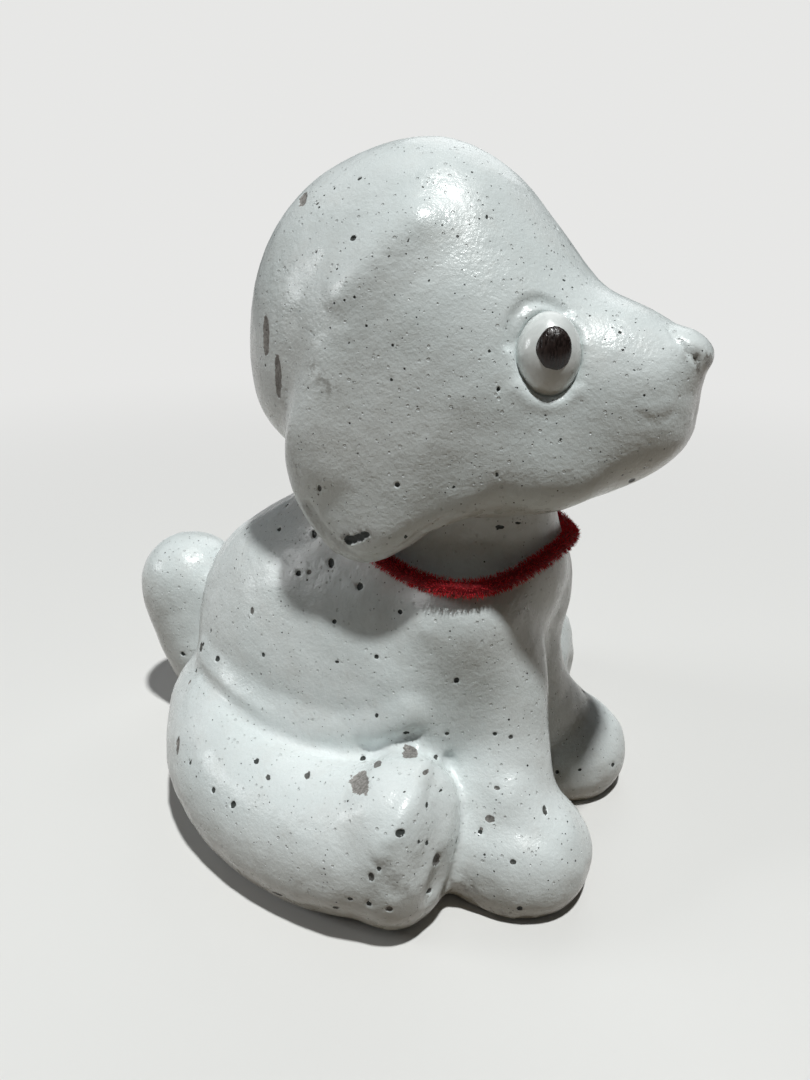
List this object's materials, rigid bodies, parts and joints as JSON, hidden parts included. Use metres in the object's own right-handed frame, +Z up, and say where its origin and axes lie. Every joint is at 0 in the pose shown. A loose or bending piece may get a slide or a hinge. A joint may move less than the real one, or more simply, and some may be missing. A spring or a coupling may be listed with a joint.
{
  "type": "dog statue",
  "caption": "Sitting puppy statue cast in concrete and painted gloss white, with raised dark eyes, hanging ears, a club tail and a red velvet stem collar.",
  "frame": {"origin": "on the ground, below the middle of the whole part's box", "axes": "+X towards the nose, +Y to the dog's left, +Z up"},
  "size_m": [0.2196, 0.174, 0.2203],
  "materials": {
    "body_paint": "cast concrete under gloss white paint, pitted",
    "head_paint": "cast concrete under gloss white paint, pitted",
    "eyeball_paint": "smooth gloss white paint",
    "pupil_gloss": "dark brown high gloss",
    "pin_steel": "plain steel rod",
    "collar_velvet": "short red velvet pile on a wire"
  },
  "bodies": {
    "root": {"body_casting": "body_paint", "head_casting": "head_paint", "left_eyeball": "eyeball_paint", "right_eyeball": "eyeball_paint", "left_pupil": "pupil_gloss", "right_pupil": "pupil_gloss", "neck_pin": "pin_steel", "collar": "collar_velvet"}
  },
  "joints": []
}
